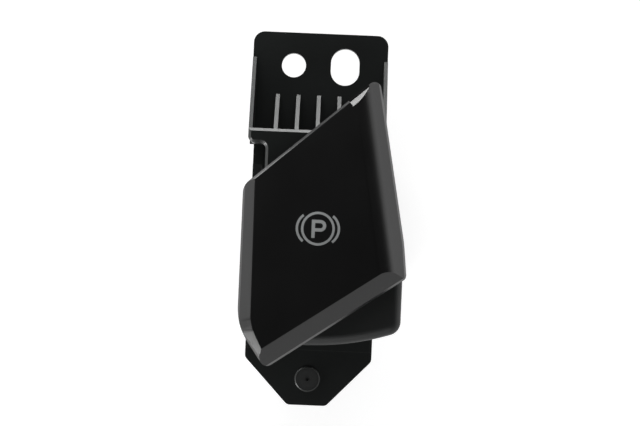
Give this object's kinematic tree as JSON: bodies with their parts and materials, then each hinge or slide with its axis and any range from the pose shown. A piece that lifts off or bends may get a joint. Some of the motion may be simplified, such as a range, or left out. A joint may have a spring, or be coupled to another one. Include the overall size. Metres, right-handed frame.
{
  "type": "electric parking brake switch",
  "caption": "Pull-up parking brake switch: a bevelled paddle on a black moulded bracket with a screw hole, a slotted hole, a locating peg and a rear plug socket.",
  "frame": {"origin": "on the bracket plate's rear mounting face, on its centre line, level with the round screw hole and the slotted hole", "axes": "+X across the bracket to the right seen from the paddle side, +Y along the bracket towards the end with two holes, +Z out of the mounting face towards the paddle's face"},
  "size_m": [0.0428, 0.1, 0.0517],
  "materials": {
    "bracket_plastic": "fine moulded texture, satin black",
    "cover_plastic": "plain moulded black",
    "paddle_paint": "soft-touch black paint",
    "carrier_plastic": "fine moulded texture, black",
    "seal_rubber": "matt black",
    "bumper_rubber": "matt dark grey",
    "steel": "zinc plated",
    "spring_steel": "bright drawn wire",
    "board_laminate": "green solder resist",
    "pin_brass": "tin-flashed brass",
    "chip_resin": "moulded resin",
    "resistor_ceramic": "fired film on ceramic",
    "led_resin": "white body, clear lens",
    "clear_plastic": "clear, polished",
    "bearing_plastic": "natural acetal",
    "slider_plastic": "natural acetal",
    "frame_plastic": "glass-filled, dark grey"
  },
  "bodies": {
    "bracket": {"housing": "bracket_plastic", "rear_cover": "cover_plastic", "cover_gasket": "seal_rubber", "cover_screws": "steel", "circuit_board": "board_laminate", "connector_pins": "pin_brass", "backlight_led": "led_resin", "telltale_led": "led_resin", "controller_chip": "chip_resin", "board_resistors": "resistor_ceramic", "light_guide": "clear_plastic", "contact_frame": "frame_plastic", "bush_left": "bearing_plastic", "bush_right": "bearing_plastic", "washer_left": "bearing_plastic", "washer_right": "bearing_plastic", "rest_bumpers": "bumper_rubber", "pull_bumpers": "bumper_rubber", "return_spring": "spring_steel"},
    "lever": {"lever_body": "carrier_plastic", "lever_cap": "paddle_paint", "cap_screws": "steel", "symbol_light_guide": "clear_plastic", "pivot_shaft": "steel", "shaft_clip": "spring_steel", "drive_arm": "slider_plastic"},
    "slider": {"contact_slider": "slider_plastic", "wiper_contacts": "pin_brass"}
  },
  "joints": [
    {"name": "lever_pull", "type": "hinge", "parent": "bracket", "child": "lever", "pos_m": [0, -0.034, 0.009], "axis": [-1, 0, 0], "range_deg": [0, 10], "stiffness_Nm_per_rad": 1, "springref_deg": -5.73, "deforming": ["return_spring"]},
    {"name": "contact_slide", "type": "slide", "parent": "bracket", "child": "slider", "axis": [0, -1, 0], "range_m": [0, 0.0022]}
  ],
  "couplings": [
    {"joint": "contact_slide", "follows": "lever_pull", "m_per_rad": 0.012}
  ]
}
